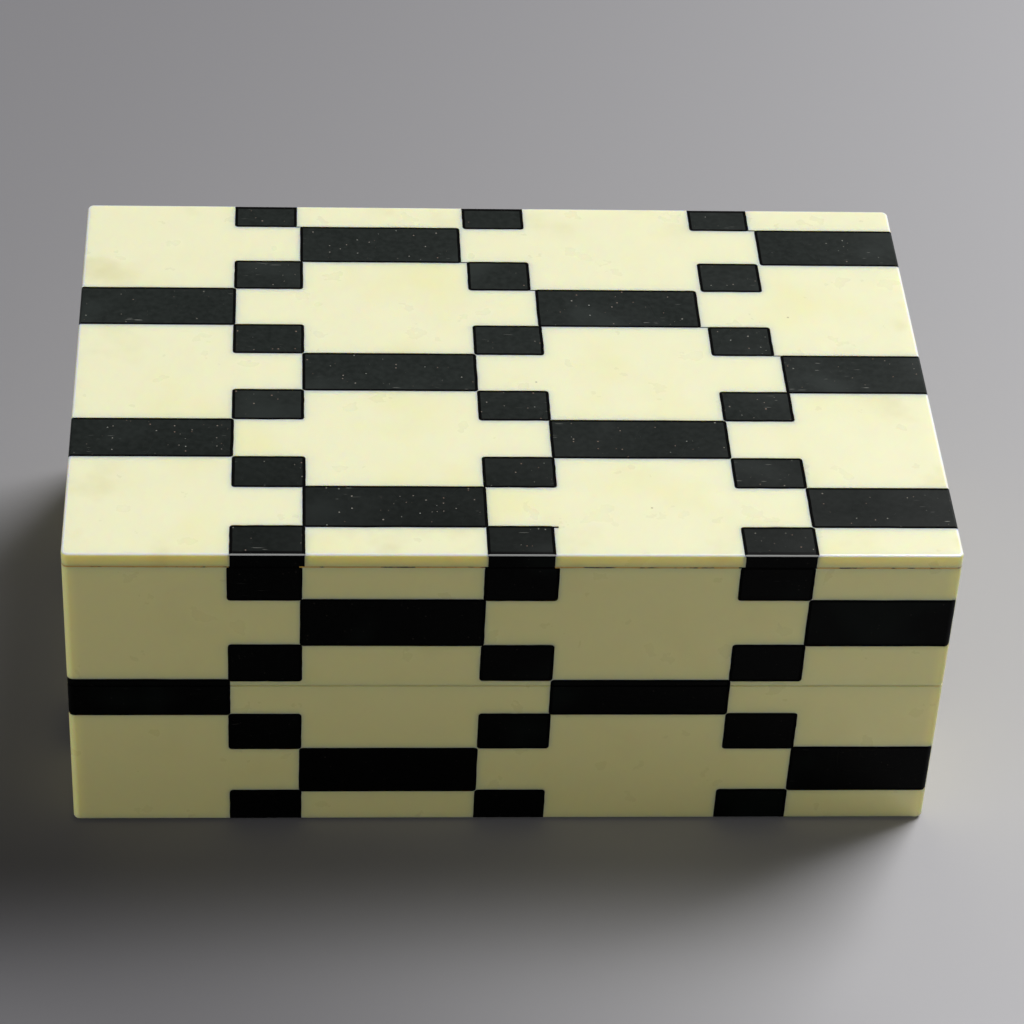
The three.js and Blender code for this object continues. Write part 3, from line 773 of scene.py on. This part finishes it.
# UNDERSIDE FELT
# One piece of dark green pressed wool, 0.5 mm thick, cut with scissors a little smaller than the box
# and glued under the floor board.
pressed_wool, tree = new_material("pressed_wool_felt")
place = add_node(tree, "TexCoord").outputs["Object"]
fibre = add_node(tree, "TexNoise", {"Vector": place, "Scale": 1400, "Detail": 5, "Distortion": 1.5})
matted = add_node(tree, "TexNoise", {"Vector": place, "Scale": 120, "Detail": 3})
tufts = add_node(tree, "Math", {0: fibre.outputs[0], 1: matted.outputs[0]}, operation="MULTIPLY")
shade = add_node(tree, "MapRange", {0: tufts.outputs[0], 1: 0.12, 2: 0.42})
green = add_node(tree, "Mix", {0: shade.outputs[0], 6: linear("#16241c"), 7: linear("#3a5244")},
                 data_type="RGBA")
nap = add_node(tree, "Bump", {"Height": tufts.outputs[0], "Strength": 0.6, "Distance": 0.0002})
shader = add_node(tree, "BsdfPrincipled", {"Base Color": green.outputs[2], "Roughness": 0.95, "IOR": 1.45,
                                           "Sheen Weight": 0.3, "Sheen Roughness": 0.6,
                                           "Normal": nap.outputs[0]})
add_node(tree, "OutputMaterial", {0: shader.outputs[0]})

felt_low, felt_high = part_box("base_felt")
felt_size = felt_high - felt_low
scissor_wobble = 0.12 * MM
trimmed_in = 0.998
bpy.ops.object.select_all(action="DESELECT")
bpy.ops.mesh.primitive_grid_add(x_subdivisions=75, y_subdivisions=50, size=1)
felt = bpy.context.object
felt.name = "base_felt_cut"
felt.scale = (felt_size.x, felt_size.y, 1)
felt.location = (0, 0, felt_high.z)
bpy.ops.object.transform_apply(location=True, rotation=True, scale=True)
bpy.ops.object.mode_set(mode="EDIT")
pick(felt, "VERT", lambda vert: vert.is_boundary)
bpy.ops.transform.vertex_random(offset=scissor_wobble, uniform=0, normal=0, seed=41)
bpy.ops.mesh.select_all(action="SELECT")
bpy.ops.transform.resize(value=(trimmed_in, trimmed_in, 0), center_override=(0, 0, felt_high.z))
bpy.ops.object.mode_set(mode="OBJECT")
make_active(felt)
thickness = felt.modifiers.new("thickness", "SOLIDIFY")
thickness.thickness = felt_size.z
thickness.offset = -1
bpy.ops.object.modifier_apply(modifier=thickness.name)
finish_piece(felt, "base", ["base_felt"], pressed_wool)


# VELVET LININGS
# A card the size of the inside, with dark red cotton velvet stretched over it, turned down round the
# edges and glued. One lies on the floor board and the other is pressed up under the lid.
cotton_velvet, tree = new_material("cotton_velvet")
place = add_node(tree, "TexCoord").outputs["Object"]
pile = add_node(tree, "TexNoise", {"Vector": place, "Scale": 2200, "Detail": 3})
brushed = add_node(tree, "TexNoise", {"Vector": place, "Scale": 30, "Detail": 3, "Distortion": 0.3})
lay = add_node(tree, "MapRange", {0: brushed.outputs[0], 1: 0.35, 2: 0.65},
               interpolation_type="SMOOTHSTEP")
red = add_node(tree, "Mix", {0: lay.outputs[0], 6: linear("#4b101a"), 7: linear("#641925")},
               data_type="RGBA")
tips = add_node(tree, "Bump", {"Height": pile.outputs[0], "Strength": 0.5, "Distance": 0.00015})
shader = add_node(tree, "BsdfPrincipled", {"Base Color": red.outputs[2], "Roughness": 0.9, "IOR": 1.45,
                                           "Sheen Weight": 0.8, "Sheen Roughness": 0.35,
                                           "Sheen Tint": linear("#c8606c"), "Normal": tips.outputs[0]})
add_node(tree, "OutputMaterial", {0: shader.outputs[0]})

grey_board, tree = new_material("grey_board")
place = add_node(tree, "TexCoord").outputs["Object"]
pulp = add_node(tree, "TexNoise", {"Vector": place, "Scale": 700, "Detail": 4})
board_grey = add_node(tree, "Mix", {0: pulp.outputs[0], 6: linear("#6f6a60"), 7: linear("#8f897c")},
                      data_type="RGBA")
shader = add_node(tree, "BsdfPrincipled", {"Base Color": board_grey.outputs[2], "Roughness": 0.9})
add_node(tree, "OutputMaterial", {0: shader.outputs[0]})

cloth = 0.5 * MM
turned_edge = (0.7 * MM, 4)
card_clear, card_below = 0.1 * MM, 0.05 * MM
card_corner = (1 * MM, 3)
velvet_short = 0.04 * MM
flat_margin = 2 * MM
velvet_uneven, velvet_sunk = 0.16 * MM, 0.03 * MM
for part, lies in (("base", 0), ("lid", math.pi)):
    low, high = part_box(part + "_lining")
    size, middle = high - low, (low + high) / 2
    half = size / 2
    card_margin = Vector((cloth + card_clear, cloth + card_clear, 0))
    card_top = half - card_margin - Vector((0, 0, cloth + card_below))
    card = add_block(part + "_lining_card", card_margin - half, card_top)
    round_edges(card, card_corner, lambda a, b: abs(a.z - b.z) > cloth)
    bpy.ops.object.mode_set(mode="OBJECT")
    bpy.ops.object.select_all(action="DESELECT")
    bpy.ops.mesh.primitive_grid_add(x_subdivisions=68, y_subdivisions=43, size=1)
    velvet = bpy.context.object
    velvet.name = part + "_lining_velvet"
    velvet.scale = (size.x, size.y, 1)
    velvet.location = (0, 0, half.z)
    bpy.ops.object.transform_apply(location=True, rotation=True, scale=True)
    bpy.ops.object.mode_set(mode="EDIT")
    pick(velvet, "EDGE", lambda edge: edge.is_boundary)
    bpy.ops.mesh.extrude_region_move(TRANSFORM_OT_translate={"value": (0, 0, velvet_short - size.z)})
    round_edges(velvet, turned_edge, lambda a, b: min(a.z, b.z) > half.z - nearly and (
        min(abs(a.x), abs(b.x)) > half.x - nearly or min(abs(a.y), abs(b.y)) > half.y - nearly))
    pick(velvet, "VERT", lambda vert: abs(vert.co.x) < half.x - flat_margin
         and abs(vert.co.y) < half.y - flat_margin)
    bpy.ops.transform.vertex_random(offset=velvet_uneven, uniform=0, normal=0, seed=51)
    bpy.ops.mesh.vertices_smooth(factor=0.5, repeat=4)
    bpy.ops.transform.translate(value=(0, 0, -velvet_sunk))
    bpy.ops.object.mode_set(mode="OBJECT")
    make_active(velvet)
    thickness = velvet.modifiers.new("cloth", "SOLIDIFY")
    thickness.thickness = cloth
    thickness.offset = -1
    bpy.ops.object.modifier_apply(modifier=thickness.name)
    bpy.ops.object.shade_smooth()
    turn_to_face([card, velvet], middle, (lies, 0, 0))
    finish_piece(velvet, part, [part + "_lining"], cotton_velvet)
    card.data.materials.append(grey_board)
    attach(card, part)


# BRASS HINGES
# Two small pressed butt hinges with countersunk screws, let in flush, their barrels in the groove.
# Brass that was tumbled bright and has dulled: soft scratches, and brown tarnish in patches.
dulled_brass, tree = new_material("dulled_brass")
place = add_node(tree, "TexCoord").outputs["Object"]
tarnish = add_node(tree, "TexNoise", {"Vector": place, "Scale": 190, "Detail": 5, "Roughness": 0.6})
tarnished = add_node(tree, "MapRange", {0: tarnish.outputs[0], 1: 0.48, 2: 0.68})
metal = add_node(tree, "Mix", {0: tarnished.outputs[0], 6: linear("#d0ad66"), 7: linear("#8a6535")},
                 data_type="RGBA")
drawn = add_node(tree, "Mapping", {"Vector": place, "Scale": (1, 16, 16)})
scratches = add_node(tree, "TexNoise", {"Vector": drawn.outputs[0], "Scale": 380, "Detail": 3})
dull = add_node(tree, "MapRange", {0: tarnish.outputs[0], 1: 0.3, 2: 0.7, 3: 0.28, 4: 0.5})
bump = add_node(tree, "Bump", {"Height": scratches.outputs[0], "Strength": 0.12, "Distance": 0.00005})
shader = add_node(tree, "BsdfPrincipled", {"Base Color": metal.outputs[2], "Metallic": 1.0,
                                           "Roughness": dull.outputs[0], "Normal": bump.outputs[0]})
add_node(tree, "OutputMaterial", {0: shader.outputs[0]})

pressed_round = 0.06 * MM
shortest_edge = 0.25 * MM
for side in ("left", "right"):
    for part in ("base", "lid"):
        node = f"hinge_{side}_{part}_leaf"
        leaf = copy_of_node(node, node + "_pressed")
        pick(leaf, "EDGE", lambda edge: edge.is_manifold and edge.calc_face_angle() > math.radians(50)
             and edge.calc_length() > shortest_edge)
        bpy.ops.mesh.bevel(offset=pressed_round, segments=2, affect="EDGES", clamp_overlap=True)
        bpy.ops.object.mode_set(mode="OBJECT")
        bpy.ops.object.shade_smooth_by_angle(angle=math.radians(32))
        finish_piece(leaf, part, [node], dulled_brass)
    for node, pin_or_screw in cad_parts.items():
        if node.startswith(f"hinge_{side}") and "leaf" not in node:
            cover(pin_or_screw, dulled_brass)
